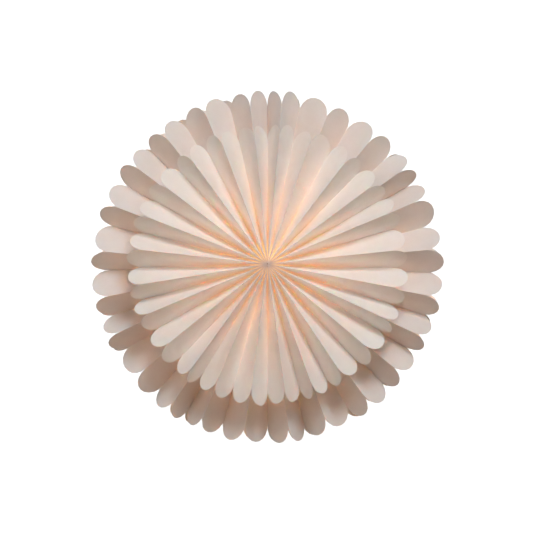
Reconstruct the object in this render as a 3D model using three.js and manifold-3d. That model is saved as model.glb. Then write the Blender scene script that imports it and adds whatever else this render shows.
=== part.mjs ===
// Accordion paper lantern: four pleated paper rings round one axis, on a small wire cage that
// keeps them clear of a screw-in lamp. Millimetres, +Z up, and the lantern faces -Y.
//
// The axis of the lantern is Y. "depth" is measured along it from the middle of the lantern,
// positive towards the front, so y = -depth. "turn" is an angle in degrees round the axis,
// clockwise from the top as seen from the front. The seam of the fan is at the bottom.

import * as THREE from "three";
import { mergeVertices } from "three/addons/utils/BufferGeometryUtils.js";
import Module from "manifold-3d";

const wasm = await Module();
wasm.setup();

// ---------------------------------------------------------------- driving dimensions

const OUTER_RADIUS = 250; // tips of the two large rings
const SMALL_RADIUS = 197; // tips of the two small rings
const SHEETS = 6; // each ring is glued up from this many pleated sheets
const PANELS_PER_SHEET = 8; // flat panels between the folds of one sheet
const LARGE_PANEL = 52; // width of a panel, fold to fold, in a large ring
const SMALL_PANEL = 46; // the same in a small ring
const PAPER = 0.25; // thickness of the paper, a card of about 200 g/m2
const GAP = 0.3; // clearance between pieces that touch
const SEAM_TURN = 180; // the fan opens and closes at the bottom

const LARGE_MIDDLE = 30; // depth of the middle of a large ring
const SMALL_MIDDLE = 93; // depth of the middle of a small ring
const CAGE_RADIUS = 66; // rings of wire inside the large paper rings
const COLLAR_RADIUS = 34; // ring of wire in the back opening
const COLLAR_DEPTH = -82;
const HUB_DEPTH = 64; // back face of the hub that carries the front small ring
const WIRE = 1.2; // radius of the cage wire
const COLLAR_WIRE = 1.5; // radius of the collar's wire

const THREAD_RADIUS = 14; // outside of the lamp holder's barrel
const SHELL_RADIUS = 7.3; // inside of the holder's screw shell
const BULB_RADIUS = 21.5;
const BULB_MIDDLE = -19; // depth of the middle of the bulb's ball

const PANEL_TURN = 360 / (SHEETS * PANELS_PER_SHEET);
const SHEET_TURN = 360 / SHEETS;
const LATHE_SIDES = 18;
const WIRE_SIDES = 6;

// ---------------------------------------------------------------- materials

const material = (color, roughness, metalness = 0) =>
  new THREE.MeshStandardMaterial({ color, roughness, metalness });

const paper = material(0xf3ece2, 0.9);
const tabFilm = material(0xe9e4da, 0.8);
const cotton = material(0xe9e4da, 0.9);
const wire = material(0xe8e6e1, 0.4, 0.2);
const wood = material(0xd9bf94, 0.7);
const holderPlastic = material(0xefece4, 0.45);
const ceramic = material(0xf1eee8, 0.35);
const brass = material(0xc9a24b, 0.35, 1);
const nickel = material(0xc4c2bd, 0.3, 1);
const blackGlass = material(0x17181b, 0.2);
const glass = material(0xfdf6e6, 0.05);
const phosphor = material(0xf2b24a, 0.5);

// ---------------------------------------------------------------- helpers

const lantern = new THREE.Group();

function add(name, geometry, itsMaterial, parent = lantern) {
  const mesh = new THREE.Mesh(geometry, itsMaterial);
  mesh.name = name;
  parent.add(mesh);
  return mesh;
}

/** A point at a radius, a turn in degrees and a depth. */
function at(radius, turn, depth) {
  const angle = THREE.MathUtils.degToRad(turn);
  return new THREE.Vector3(radius * Math.sin(angle), -depth, radius * Math.cos(angle));
}

/** A solid of revolution round the lantern's axis, from the [radius, depth] pairs of a closed profile. */
function turned(profile, sides = LATHE_SIDES) {
  const points = profile.map(([radius, depth]) => new THREE.Vector2(radius, -depth));
  if (THREE.ShapeUtils.area(points) < 0) points.reverse();
  points.push(points[0].clone());
  return new THREE.LatheGeometry(points, sides);
}

/** A tube along a curve, with closed ends. */
function tube(curve, radius, steps) {
  const section = new THREE.Shape();
  for (let i = 0; i < WIRE_SIDES; i++) {
    const angle = (2 * Math.PI * i) / WIRE_SIDES;
    const [x, y] = [radius * Math.cos(angle), radius * Math.sin(angle)];
    if (i) section.lineTo(x, y);
    else section.moveTo(x, y);
  }
  section.closePath();
  return new THREE.ExtrudeGeometry(section, { extrudePath: curve, steps });
}

const through = (points) => new THREE.CatmullRomCurve3(points, false, "centripetal");

/** A closed ring of wire round the lantern's axis. */
function wireRing(radius, depth, thickness, segments = 32) {
  const ring = new THREE.TorusGeometry(radius, thickness, WIRE_SIDES, segments);
  return ring.rotateX(Math.PI / 2).translate(0, -depth, 0);
}

/** Joins closed geometries into one solid. */
function joined(geometries) {
  const solids = geometries.map((geometry) => {
    const plain = new THREE.BufferGeometry();
    plain.setAttribute("position", geometry.getAttribute("position"));
    plain.setIndex(geometry.getIndex());
    const merged = mergeVertices(plain, 1e-3);
    const vertProperties = Float32Array.from(merged.getAttribute("position").array);
    const triVerts = merged.getIndex().array;
    return new wasm.Manifold(new wasm.Mesh({ numProp: 3, vertProperties, triVerts }));
  });
  const mesh = solids.reduce((whole, solid) => whole.add(solid)).getMesh();
  const geometry = new THREE.BufferGeometry();
  geometry.setAttribute("position", new THREE.BufferAttribute(Float32Array.from(mesh.vertProperties), 3));
  geometry.setIndex(Array.from(mesh.triVerts));
  return geometry;
}

/** A solid from its faces, which are lists of points that all go round the same way. */
function faceted(faces) {
  const triangles = faces.flatMap((f) => f.slice(2).map((_, i) => [f[0], f[i + 1], f[i + 2]]));
  const volume = triangles.reduce((sum, [a, b, c]) => sum + a.dot(b.clone().cross(c)), 0);
  if (volume < 0) triangles.forEach((triangle) => triangle.reverse());
  return new THREE.BufferGeometry().setFromPoints(triangles.flat());
}

/** The faces of a slab between two outlines that have the same number of points. */
function slab(bottom, top) {
  const sides = bottom.map((point, i) => {
    const next = (i + 1) % bottom.length;
    return [point, bottom[next], top[next], top[i]];
  });
  return [[...bottom].reverse(), top, ...sides];
}

// ---------------------------------------------------------------- pleated paper

// facing is 1 where the fold at the seam is one of the back ones, and -1 where it is one of the front ones.
const small = { outer: SMALL_RADIUS, panel: SMALL_PANEL };
const large = { outer: OUTER_RADIUS, panel: LARGE_PANEL };
const RINGS = [
  { name: "small_front", ...small, inner: 5.5, middle: SMALL_MIDDLE, facing: 1 },
  { name: "large_front", ...large, inner: CAGE_RADIUS + 4, middle: LARGE_MIDDLE, facing: 1 },
  { name: "large_back", ...large, inner: CAGE_RADIUS + 4, middle: -LARGE_MIDDLE, facing: -1 },
  { name: "small_back", ...small, inner: COLLAR_RADIUS + 4, middle: -SMALL_MIDDLE, facing: -1 },
];

// Where the points of a panel's round end lie across its width, from fold to fold.
const ROUND_STEPS = [0, 0.15, 0.5, 0.85, 1];

// Folds as close as those in the middle of a ring need a row of points there as well.
const CLOSE_FOLDS = 30;

/** Depth between front and back folds at a radius: panels stand on edge inside and lean outside. */
function pleatHeight(ring, radius) {
  const outside = Math.sqrt(ring.panel ** 2 - (ring.outer * THREE.MathUtils.degToRad(PANEL_TURN)) ** 2);
  return THREE.MathUtils.mapLinear(radius, 0, ring.outer, ring.panel, outside);
}

/** The fold numbered from the seam: is it one of those nearer the front? */
const isFrontFold = (ring, fold) => (fold % 2 === 1) === (ring.facing === 1);

const foldDepth = (ring, fold, radius) =>
  ring.middle + ((isFrontFold(ring, fold) ? 1 : -1) * pleatHeight(ring, radius)) / 2;

/** How far out a panel reaches at a place across its width: its end is a half circle. */
const panelReach = (ring, across) =>
  ring.outer - ring.panel / 2 + (ring.panel / 2) * Math.sqrt(Math.max(0, 1 - (2 * across - 1) ** 2));

/** Half the paper's thickness, as a turn in degrees at this radius. */
const halfPaperTurn = (ring, radius) =>
  THREE.MathUtils.radToDeg(((PAPER / 2) * ring.panel) / pleatHeight(ring, radius) / radius);

/** The turn of a fold within a sheet; the first and the last fold stand back from the next sheet. */
function foldTurn(ring, sheet, fold, radius) {
  const plain = SEAM_TURN + sheet * SHEET_TURN + fold * PANEL_TURN;
  const back = halfPaperTurn(ring, radius) + THREE.MathUtils.radToDeg(GAP / 2 / radius);
  if (fold === 0) return plain + back;
  if (fold === PANELS_PER_SHEET) return plain - back;
  return plain;
}

/** A point on one face of a panel. side is 1 for the face towards greater turns, and -1 for the other. */
function onPanel(ring, sheet, panel, across, radius, side) {
  const [from, to] = [foldTurn(ring, sheet, panel, radius), foldTurn(ring, sheet, panel + 1, radius)];
  const [low, high] = [foldDepth(ring, panel, radius), foldDepth(ring, panel + 1, radius)];
  const half = halfPaperTurn(ring, radius) * side;
  return at(radius, from + (to - from) * across + half, low + (high - low) * across);
}

/** How much of a panel's width the inside of a fold takes up, where this panel meets the next one. */
function insideShare(ring, sheet, fold, radius) {
  if (fold === 0 || fold === PANELS_PER_SHEET) return 0;
  const width = foldTurn(ring, sheet, fold + 1, radius) - foldTurn(ring, sheet, fold - 1, radius);
  return (2 * halfPaperTurn(ring, radius)) / width;
}

/** The front and the back point of a panel at a place across its width. */
function panelPoint(ring, sheet, panel, across, radius) {
  const rises = isFrontFold(ring, panel + 1);
  const start = insideShare(ring, sheet, panel, radius);
  const end = 1 - insideShare(ring, sheet, panel + 1, radius);
  // One face stops short of the fold that it is inside of, and the other face of the other fold.
  const short = { start: start + (1 - start) * across, end: end * across };
  return {
    front: onPanel(ring, sheet, panel, rises ? short.start : short.end, radius, rises ? -1 : 1),
    back: onPanel(ring, sheet, panel, rises ? short.end : short.start, radius, rises ? 1 : -1),
  };
}

/** One pleated sheet: flat panels between folds, each with a half-round end. */
function pleatedSheet(ring, sheet) {
  const panels = [...Array(PANELS_PER_SHEET).keys()].map((panel) =>
    ROUND_STEPS.map((across) => {
      const close = ring.inner < CLOSE_FOLDS ? [CLOSE_FOLDS] : [];
      const radii = [ring.inner, ...close, panelReach(ring, across)];
      return radii.map((radius) => panelPoint(ring, sheet, panel, across, radius));
    }),
  );
  const faces = [];
  const rows = panels[0][0].length - 1;

  // The strips of every panel, then the crest of every fold, row by row outwards. A panel is slightly
  // twisted, so its two faces start from the same corner, which splits them along the same diagonal.
  const bothFaces = (here, next, row) => {
    faces.push([here[row].front, next[row].front, next[row + 1].front, here[row + 1].front]);
    faces.push([here[row].back, here[row + 1].back, next[row + 1].back, next[row].back]);
  };
  for (const points of panels) {
    for (let i = 0; i + 1 < points.length; i++) {
      const [here, next] = [points[i], points[i + 1]];
      for (let row = 0; row < rows; row++) bothFaces(here, next, row);
      faces.push([here[rows].front, next[rows].front, next[rows].back, here[rows].back]);
      faces.push([here[0].back, next[0].back, next[0].front, here[0].front]);
    }
  }
  for (let fold = 1; fold < PANELS_PER_SHEET; fold++) {
    const [here, next] = [panels[fold - 1].at(-1), panels[fold][0]];
    const [inner, outer] = [[here[0], next[0]], [here[rows], next[rows]]];
    for (let row = 0; row < rows; row++) {
      if (isFrontFold(ring, fold))
        faces.push([here[row].front, next[row].front, next[row + 1].front, here[row + 1].front]);
      else faces.push([here[row + 1].back, next[row + 1].back, next[row].back, here[row].back]);
    }
    if (isFrontFold(ring, fold)) {
      faces.push([outer[0].front, outer[1].front, outer[1].back]);
      faces.push([inner[0].back, inner[1].front, inner[0].front]);
    } else {
      faces.push([outer[0].front, outer[1].back, outer[0].back]);
      faces.push([inner[0].back, inner[1].back, inner[0].front]);
    }
  }

  // The two cut edges.
  const [first, last] = [panels[0][0], panels.at(-1).at(-1)];
  for (let row = 0; row < rows; row++) {
    faces.push([first[row].front, first[row + 1].front, first[row + 1].back, first[row].back]);
    faces.push([last[row].back, last[row + 1].back, last[row + 1].front, last[row].front]);
  }
  return faceted(faces);
}

/** The self-adhesive tab that closes a ring, on the hidden face of its last panel, near the outer end. */
function closingTab(ring) {
  const [thickness, length, fromRound] = [0.6, 16, 8];
  const far = ring.outer - ring.panel / 2 - fromRound;
  const near = far - length;
  const corner = (across, radius, lift) =>
    onPanel(ring, SHEETS - 1, PANELS_PER_SHEET - 1, across, radius, -(1 + lift / (PAPER / 2)));
  const outline = (lift) => [
    corner(0.74, near, lift),
    corner(0.96, near, lift),
    corner(0.96, far, lift),
    corner(0.74, far, lift),
  ];
  return faceted(slab(outline(3 * GAP), outline(3 * GAP + thickness)));
}

for (const ring of RINGS) {
  for (let sheet = 0; sheet < SHEETS; sheet++)
    add(`${ring.name}_sheet_${sheet + 1}`, pleatedSheet(ring, sheet), paper);
  add(`${ring.name}_closing_tab`, closingTab(ring), tabFilm);
}

// ---------------------------------------------------------------- wire cage

const STRUT_TURNS = [45, 135, 225, 315];

/** A strut runs from the collar round the outside of the bulb to the hub. */
function strut(turn) {
  const inside = CAGE_RADIUS - 2 * WIRE - 3 * GAP; // it stands against the inside of the two cage rings
  const route = [
    [COLLAR_RADIUS, COLLAR_DEPTH + COLLAR_WIRE + GAP],
    [COLLAR_RADIUS, COLLAR_DEPTH + 14],
    [inside - 6, -46],
    [inside, -36],
    [inside, 0],
    [inside, 36],
    [inside - 7, 45],
    [24, 60],
    [10 + GAP, HUB_DEPTH + 1.6],
  ];
  return tube(through(route.map(([radius, depth]) => at(radius, turn, depth))), WIRE, 16);
}

add("cage_ring_front", wireRing(CAGE_RADIUS, LARGE_MIDDLE, WIRE), wire);
add("cage_ring_back", wireRing(CAGE_RADIUS, -LARGE_MIDDLE, WIRE), wire);
add("collar_ring", wireRing(COLLAR_RADIUS, COLLAR_DEPTH, COLLAR_WIRE, 24), wire);
STRUT_TURNS.forEach((turn, i) => add(`cage_strut_${i + 1}`, strut(turn), wire));

// The hub holds the struts and a dowel; the folds of the front small ring are tied round the dowel.
const DOWEL_RADIUS = 3;
add("front_hub", turned([[DOWEL_RADIUS + 0.2, HUB_DEPTH], [8, HUB_DEPTH], [8.7, HUB_DEPTH + 0.8],
  [8.7, HUB_DEPTH + 2.8], [8, HUB_DEPTH + 3.6], [DOWEL_RADIUS + 0.2, HUB_DEPTH + 3.6]]), wood);
add("centre_dowel", turned([[0, HUB_DEPTH - 2], [DOWEL_RADIUS, HUB_DEPTH - 2], [DOWEL_RADIUS, 99.2],
  [DOWEL_RADIUS - 0.8, 100], [0, 100]], 12), wood);
const thread = (depth) => wireRing(DOWEL_RADIUS + 1.25, depth, 0.7, 12);
add("binding_thread_front", thread(SMALL_MIDDLE + 4), cotton);
add("binding_thread_back", thread(SMALL_MIDDLE - 16), cotton);

// The eye hangs on a nail: a stem back from the collar, and a loop in the plane of the wall.
const EYE_DEPTH = -104;
const EYE_RADIUS = 6;
const EYE_WIRE = 1;
const EYE_RISE = 2; // keeps the loop off the bulb while the lamp is drawn out past it

function hangingEye() {
  const centre = new THREE.Vector3(0, 0, COLLAR_RADIUS - EYE_RADIUS + EYE_RISE);
  const stem = [COLLAR_DEPTH - COLLAR_WIRE - GAP, COLLAR_DEPTH - 10, EYE_DEPTH + 2];
  const route = stem.map((depth) => at(COLLAR_RADIUS, 0, depth));
  for (let turn = 20; turn <= 330; turn += 31) route.push(at(EYE_RADIUS, turn, EYE_DEPTH).add(centre));
  return tube(through(route), EYE_WIRE, 40);
}
add("hanging_eye", hangingEye(), wire);

// ---------------------------------------------------------------- lamp holder on its spider

const FLANGE_DEPTH = -73; // front face of the holder's flange
const SPIDER_THICKNESS = 1.4;
const SPIDER_FRONT = FLANGE_DEPTH + GAP + SPIDER_THICKNESS;
const SPIDER_OUTER = 19;

const spiderPlate = turned([[THREAD_RADIUS + 0.3, FLANGE_DEPTH + GAP], [SPIDER_OUTER, FLANGE_DEPTH + GAP],
  [SPIDER_OUTER, SPIDER_FRONT], [THREAD_RADIUS + 0.3, SPIDER_FRONT]]);

/** A sprung arm of the spider reaches back and hooks behind the collar. */
function spiderArm(turn) {
  const behind = COLLAR_DEPTH - COLLAR_WIRE - GAP - WIRE;
  const route = [
    [SPIDER_OUTER - 0.3, SPIDER_FRONT - WIRE - 0.1],
    [SPIDER_OUTER + 3, SPIDER_FRONT - 2.6],
    [SPIDER_OUTER + 7, SPIDER_FRONT - 7],
    [SPIDER_OUTER + 11, behind + 0.6],
    [COLLAR_RADIUS - 1, behind],
    [COLLAR_RADIUS + 2, behind],
  ];
  return tube(through(route.map(([radius, depth]) => at(radius, turn, depth))), WIRE, 12);
}
add("holder_spider", joined([spiderPlate, ...[60, 180, 300].map(spiderArm)]), nickel);

add("holder_barrel", turned([[THREAD_RADIUS - 1.8, -60], [THREAD_RADIUS, -60],
  [THREAD_RADIUS, FLANGE_DEPTH], [17, FLANGE_DEPTH], [17, FLANGE_DEPTH - 3], [15, FLANGE_DEPTH - 5],
  [14.2, -92], [12.4, -92], [12.2, -74]]), holderPlastic);
add("holder_cap", turned([[14.2, -92.3], [14.2, -97], [12.6, -102], [9.6, -105.6], [8, -106.2],
  [5.3, -106.2], [5.3, -104.4], [8.8, -103.4], [11, -100.6], [12.4, -96.6], [12.4, -92.3]]), holderPlastic);
add("cord_gland", turned([[3.2, -114], [6.4, -114], [7.2, -113], [7.2, -107.6], [6.6, -106.5], [5, -106.5],
  [5, -101.5], [3.2, -101.5]]), holderPlastic);
add("retaining_ring", turned([[THREAD_RADIUS + 0.3, SPIDER_FRONT + GAP], [18.2, SPIDER_FRONT + GAP],
  [18.6, -69], [18.6, -65], [17.6, -63.5], [THREAD_RADIUS + 0.3, -63.5]]), holderPlastic);
add("socket_insert", turned([[1.6, -90], [11.8, -90], [11.8, -82], [9.4, -82], [9.4, -85.2], [1.6, -85.2]]),
  ceramic);
add("screw_shell", turned([[SHELL_RADIUS, -84.9], [SHELL_RADIUS + 0.6, -84.9], [SHELL_RADIUS + 0.6, -64],
  [SHELL_RADIUS + 1.4, -63.4], [SHELL_RADIUS + 1, -63], [SHELL_RADIUS, -64]]), brass);

/** The live contact is a bent strip that the tip of the bulb presses on. */
function centreContact() {
  const [width, thick] = [3.2, 0.4];
  const outline = new THREE.Shape([
    new THREE.Vector2(-4.6, -83.7),
    new THREE.Vector2(-1.6, -83.7),
    new THREE.Vector2(1.2, -82.9),
    new THREE.Vector2(4.2, -83.3),
    new THREE.Vector2(4.2, -83.3 + thick),
    new THREE.Vector2(1.2, -82.9 + thick),
    new THREE.Vector2(-1.6, -83.7 + thick),
    new THREE.Vector2(-4.6, -83.7 + thick),
  ]);
  const bent = new THREE.ExtrudeGeometry(outline, { depth: width, bevelEnabled: false });
  // The outline is drawn as (x, depth) and extruded along Z; depth runs against Y.
  return bent.translate(0, 0, -width / 2).rotateY(Math.PI).rotateZ(Math.PI);
}
add("centre_contact", centreContact(), brass);

/** A terminal screw in the back of the insert: a cheese head on a short shank. */
function terminalScrew(x) {
  const head = [[0, -95.4], [2.4, -95.4], [2.6, -94.9], [2.6, -93.6]];
  const shank = [[1.2, -93.6], [1.2, -90.3], [0, -90.3]];
  return turned([...head, ...shank], 10).translate(x, 0, 0);
}
add("terminal_screw_live", terminalScrew(-6.4), brass);
add("terminal_screw_neutral", terminalScrew(6.4), nickel);

// ---------------------------------------------------------------- bulb

const CAP_RADIUS = SHELL_RADIUS - 0.3;
add("bulb_cap", turned([[CAP_RADIUS - 0.5, -62], [CAP_RADIUS, -62], [CAP_RADIUS, -78], [5, -80.6],
  [4.6, -80.2], [CAP_RADIUS - 0.5, -77.6]]), nickel);
add("bulb_insulator", turned([[0, -81.4], [2.6, -81.4], [4.2, -80.4], [4.2, -79], [0, -79]], 12),
  blackGlass);
add("bulb_tip_contact", turned([[0, -82.45], [1.3, -82.35], [2, -81.7], [0, -81.7]], 12), brass);

/** The glass: a ball on a neck, blown thin, open where the cap holds it. */
function bulbGlass() {
  const wall = 0.8;
  const [ballSteps, stepTurn] = [8, 17]; // from the front of the ball to where the neck begins
  const ball = (radius) =>
    [...Array(ballSteps + 1).keys()].map((step) => {
      const angle = THREE.MathUtils.degToRad(90 - step * stepTurn);
      return [step ? radius * Math.cos(angle) : 0, BULB_MIDDLE + radius * Math.sin(angle)];
    });
  const neck = [[13.4, -42], [10.2, -49], [8.6, -56], [8.4, -61.7]];
  const inside = [...ball(BULB_RADIUS - wall), ...neck.map(([radius, depth]) => [radius - wall, depth])];
  return turned([...ball(BULB_RADIUS), ...neck, ...inside.reverse()]);
}
add("bulb_glass", bulbGlass(), glass);
add("filament_stem", turned([[0, -61], [4.2, -61], [4.2, -58], [2, -52], [1.5, -34], [0, -34]], 12), glass);

/** An LED filament stands round the stem and leans outwards at the front. */
function filament(turn) {
  const route = new THREE.LineCurve3(at(3.6, turn, -38), at(8.4, turn + 24, -8));
  return tube(route, 0.9, 1);
}
[30, 150, 270].forEach((turn, i) => add(`led_filament_${i + 1}`, filament(turn), phosphor));

export default lantern;
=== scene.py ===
"""Accordion paper lantern: the finished look of the four pleated rings, the wire cage and the lamp.

Lengths are metres unless a property says otherwise. The lantern's axis is Y and its front faces -Y. "depth" is the
distance in front of the middle, so y is minus the depth. "turn" is an angle in degrees round the axis, clockwise from
the top as seen from the front, and the seam where the fan opens is at SEAM_TURN.
"""

import math

import bpy
import numpy as np
from bpy.props import FloatProperty, FloatVectorProperty, IntProperty, PointerProperty
from mathutils import Matrix, Vector


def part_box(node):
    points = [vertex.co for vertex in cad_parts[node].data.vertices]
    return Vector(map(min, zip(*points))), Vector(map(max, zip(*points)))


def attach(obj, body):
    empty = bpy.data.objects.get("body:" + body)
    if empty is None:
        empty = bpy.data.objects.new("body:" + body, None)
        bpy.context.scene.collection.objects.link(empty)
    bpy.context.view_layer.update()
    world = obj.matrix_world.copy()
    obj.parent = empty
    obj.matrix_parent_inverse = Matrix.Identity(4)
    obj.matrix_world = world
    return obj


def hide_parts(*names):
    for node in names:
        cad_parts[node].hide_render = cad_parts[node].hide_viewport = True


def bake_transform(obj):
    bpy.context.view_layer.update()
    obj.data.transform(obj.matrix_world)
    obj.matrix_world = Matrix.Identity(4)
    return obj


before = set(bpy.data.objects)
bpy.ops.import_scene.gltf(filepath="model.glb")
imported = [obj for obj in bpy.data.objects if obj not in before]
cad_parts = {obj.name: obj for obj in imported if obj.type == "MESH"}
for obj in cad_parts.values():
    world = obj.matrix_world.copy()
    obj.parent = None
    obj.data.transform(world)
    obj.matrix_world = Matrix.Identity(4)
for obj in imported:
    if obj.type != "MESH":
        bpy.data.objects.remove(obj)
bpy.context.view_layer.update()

bl_info = {
    "name": "Accordion paper lantern",
    "version": (1, 0, 0),
    "blender": (4, 5, 0),
    "location": "View3D > Sidebar > Lantern",
    "description": "Makes the pleated paper rings, wire cage and lamp of a fan-opening paper lantern",
    "category": "Add Mesh",
}

MM = 0.001
SEAM_TURN = 180.0
SHEETS = 6
PANELS_PER_SHEET = 8
PANELS = SHEETS * PANELS_PER_SHEET
ROUND_ROWS = 4  # rows of faces in the half-round end of a panel
TAB_STEPS = 6  # faces along and across a closing tab
CURL_START = 0.72  # share of the outer radius where a petal begins to curl
NARROWEST, WIDEST = 3.4, 12.5  # degrees that one panel can take up
# The next four are in millimetres.
LARGE_DEPTH = 30
SMALL_DEPTH = 93
CAGE_RADIUS = 66
COLLAR_RADIUS = 34

# ---- properties


class PaperProperties(bpy.types.PropertyGroup):
    """Sizes and colours of the pleated paper."""

    thickness: FloatProperty(
        name="Thickness", description="Thickness of the card", default=0.3 * MM, unit="LENGTH"
    )
    large_panel: FloatProperty(
        name="Large panel", description="Fold to fold in the large rings", default=52 * MM, unit="LENGTH"
    )
    small_panel: FloatProperty(
        name="Small panel", description="Fold to fold in the small rings", default=46 * MM, unit="LENGTH"
    )
    bow: FloatProperty(
        name="Bow", description="How far a panel bulges at its outer end", default=1.2 * MM, unit="LENGTH"
    )
    curl: FloatProperty(
        name="Curl", description="How far the tip of a petal curls", default=3.5 * MM, unit="LENGTH"
    )
    colour: FloatVectorProperty(
        name="Paper", description="Colour of the card", subtype="COLOR", default=(0.87, 0.805, 0.755)
    )
    shade: FloatVectorProperty(
        name="Shade", description="Colour of the card where it is denser", subtype="COLOR", default=(0.825, 0.755, 0.70)
    )
    steps_across: IntProperty(name="Steps across", description="Faces across one panel", default=10, min=4)
    steps_along: IntProperty(name="Steps along", description="Faces along a fold", default=14, min=4)


class LampProperties(bpy.types.PropertyGroup):
    """Colour and strength of the light inside."""

    glow: FloatVectorProperty(
        name="Glow", description="Colour of the lit paper round the axis", subtype="COLOR", default=(1.0, 0.52, 0.26)
    )
    rim: FloatVectorProperty(
        name="Rim", description="Colour of the lit paper further out", subtype="COLOR", default=(1.0, 0.80, 0.74)
    )
    heart: FloatVectorProperty(
        name="Heart", description="Colour of the paper nearest the bulb", subtype="COLOR", default=(1.0, 0.56, 0.10)
    )
    ember: FloatVectorProperty(
        name="Ember", description="Colour of the light between the rings", subtype="COLOR", default=(1.0, 0.42, 0.16)
    )
    power: FloatProperty(name="Power", description="Power of the light inside, in watts", default=3.0)


class StageProperties(bpy.types.PropertyGroup):
    """The floor, the lights and the camera."""

    camera_distance: FloatProperty(
        name="Camera distance", description="From the middle of the lantern", default=3.4, unit="LENGTH"
    )
    camera_rise: FloatProperty(
        name="Camera rise", description="Height angle of the camera", default=math.radians(-2.5), subtype="ANGLE"
    )
    view_width: FloatProperty(
        name="View width", description="Width seen at the large rings", default=0.757, unit="LENGTH"
    )
    floor_drop: FloatProperty(
        name="Floor drop", description="From the middle of the lantern down to the floor", default=0.55, unit="LENGTH"
    )
    key_power: FloatProperty(name="Key power", description="Power of the main light, in watts", default=70.0)
    fill_power: FloatProperty(name="Fill power", description="Power of the side light, in watts", default=7.0)
    back_power: FloatProperty(name="Back power", description="Power of the light behind, in watts", default=36.0)
    ambient: FloatProperty(name="Ambient", description="Strength of the light from all round", default=0.33)


# ---- mesh helpers


def clear_selection():
    """Leaves object mode with nothing selected."""
    if bpy.context.object and bpy.context.object.mode != "OBJECT":
        bpy.ops.object.mode_set(mode="OBJECT")
    bpy.ops.object.select_all(action="DESELECT")


def activate(piece):
    """Makes one object the only selected one."""
    clear_selection()
    piece.select_set(True)
    bpy.context.view_layer.objects.active = piece


def apply_modifier(piece, kind, **settings):
    """Adds a modifier with its settings and applies it."""
    activate(piece)
    modifier = piece.modifiers.new(kind.title(), kind)
    for name, value in settings.items():
        setattr(modifier, name, value)
    bpy.ops.object.modifier_apply(modifier=modifier.name)


def tidy_mesh(piece, merge=1e-6, recalculate=True):
    """Merges doubles, drops faces without area and turns the faces outwards."""
    activate(piece)
    bpy.ops.object.mode_set(mode="EDIT")
    bpy.ops.mesh.select_all(action="SELECT")
    bpy.ops.mesh.remove_doubles(threshold=merge)
    bpy.ops.mesh.dissolve_degenerate(threshold=merge)
    bpy.ops.mesh.delete_loose()
    if recalculate:
        bpy.ops.mesh.select_all(action="SELECT")
        bpy.ops.mesh.normals_make_consistent(inside=False)
    bpy.ops.object.mode_set(mode="OBJECT")


def smooth(piece, angle):
    """Shades a piece smooth but for edges sharper than the angle in degrees."""
    activate(piece)
    bpy.ops.object.shade_smooth_by_angle(angle=math.radians(angle))


def thickened(piece, thickness, bevel, bend):
    """Gives a flat piece its thickness and softens the edges sharper than the bend, in radians."""
    apply_modifier(piece, "SOLIDIFY", thickness=thickness, offset=0.0)
    tidy_mesh(piece, merge=1e-7)
    apply_modifier(piece, "BEVEL", width=bevel, segments=2, limit_method="ANGLE", angle_limit=bend)
    smooth(piece, 40)


def finish_piece(piece, name, material, body, node):
    """Names a piece, gives it its material, ties it to its body and hides the part of the node that it stands for."""
    piece.name = name
    piece.data.name = name
    piece.data.materials.clear()
    piece.data.materials.append(material)
    if body:
        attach(piece, body)
    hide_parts(node)


def at(radius, turn, depth):
    """A point at a radius, a turn in degrees and a depth."""
    angle = math.radians(turn)
    return Vector((radius * math.sin(angle), -depth, radius * math.cos(angle)))


def spun(profile, steps=64, bevel=0.25 * MM, smooth_angle=35):
    """A turned piece from a closed profile of (radius, depth) points in millimetres, spun round the lantern's axis."""
    clear_selection()
    bpy.ops.mesh.primitive_circle_add(vertices=len(profile), radius=1)
    piece = bpy.context.object
    for vertex, (radius, depth) in zip(piece.data.vertices, profile):
        vertex.co = (radius * MM, -depth * MM, 0)
    bpy.ops.object.mode_set(mode="EDIT")
    bpy.ops.mesh.select_all(action="SELECT")
    bpy.ops.mesh.spin(steps=steps, angle=2 * math.pi, center=(0, 0, 0), axis=(0, 1, 0))
    bpy.ops.object.mode_set(mode="OBJECT")
    tidy_mesh(piece, merge=2e-6)
    if bevel:
        apply_modifier(piece, "BEVEL", width=bevel, segments=2, limit_method="ANGLE", angle_limit=math.radians(35))
    smooth(piece, smooth_angle)
    return piece


def wire_along(points, radius, closed=False, sides=3, resolution=8):
    """A round wire through points, in metres, as a mesh."""
    clear_selection()
    curve = bpy.data.curves.new("wire", "CURVE")
    curve.dimensions = "3D"
    curve.bevel_depth = radius
    curve.bevel_resolution = sides
    curve.resolution_u = resolution
    curve.use_fill_caps = not closed
    spline = curve.splines.new("BEZIER")
    spline.bezier_points.add(len(points) - 1)
    for bezier, point in zip(spline.bezier_points, points):
        bezier.co = point
        bezier.handle_left_type = bezier.handle_right_type = "AUTO"
    spline.use_cyclic_u = closed
    piece = bpy.data.objects.new("wire", curve)
    bpy.context.collection.objects.link(piece)
    activate(piece)
    bpy.ops.object.convert(target="MESH")
    piece = bpy.context.object
    tidy_mesh(piece)
    smooth(piece, 50)
    return piece


def wire_ring(radius, depth, thickness):
    """A closed ring of wire round the lantern's axis; sizes in millimetres."""
    points = [at(radius * MM, turn, depth * MM) for turn in range(0, 360, 15)]
    return wire_along(points, thickness * MM, closed=True, sides=4)


def joined(pieces):
    """Joins pieces into one object."""
    clear_selection()
    for piece in pieces:
        piece.select_set(True)
    bpy.context.view_layer.objects.active = pieces[0]
    bpy.ops.object.join()
    return bpy.context.object


# ---- material helpers


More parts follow.
